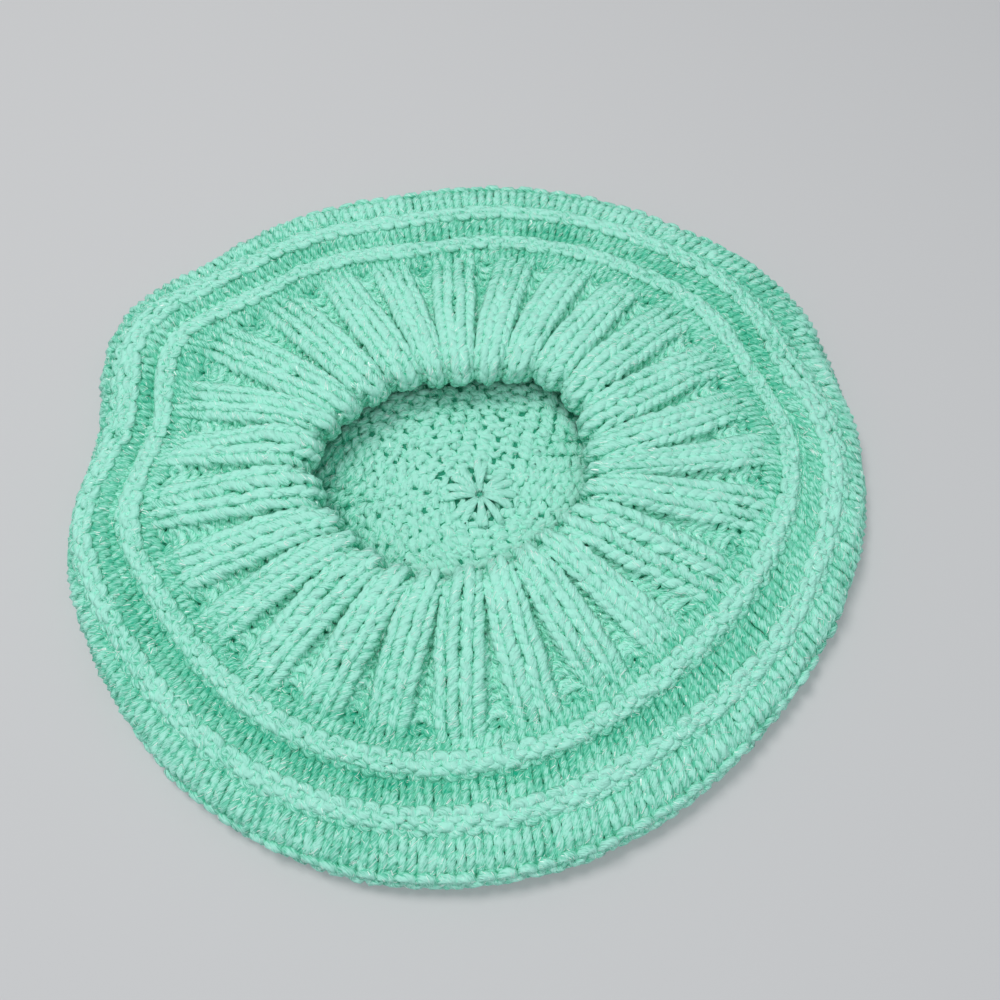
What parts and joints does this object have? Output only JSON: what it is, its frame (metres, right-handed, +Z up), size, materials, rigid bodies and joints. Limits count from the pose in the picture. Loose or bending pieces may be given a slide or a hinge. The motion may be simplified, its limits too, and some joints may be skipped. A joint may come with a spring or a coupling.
{
  "type": "knit beret",
  "caption": "Soft hand-knitted beret with a flat gathered crown, two raised purl welts round the side and a ribbed head band, lying crown down with its opening up.",
  "frame": {"origin": "on the surface the beret lies on, under the middle of its box", "axes": "+Z up, out of the head opening; +X to the right and +Y away as the picture views it"},
  "size_m": [0.2512, 0.243, 0.0214],
  "materials": {
    "crown_yarn": "soft matte mint yarn with fine shiny flecks, reverse stockinette inside",
    "side_yarn": "soft matte mint yarn with fine shiny flecks, stockinette with purl welts",
    "rib_yarn": "soft matte mint yarn with fine shiny flecks, two by one ribbing"
  },
  "bodies": {
    "root": {"crown": "crown_yarn", "side": "side_yarn", "ribbed_band": "rib_yarn"}
  },
  "joints": []
}
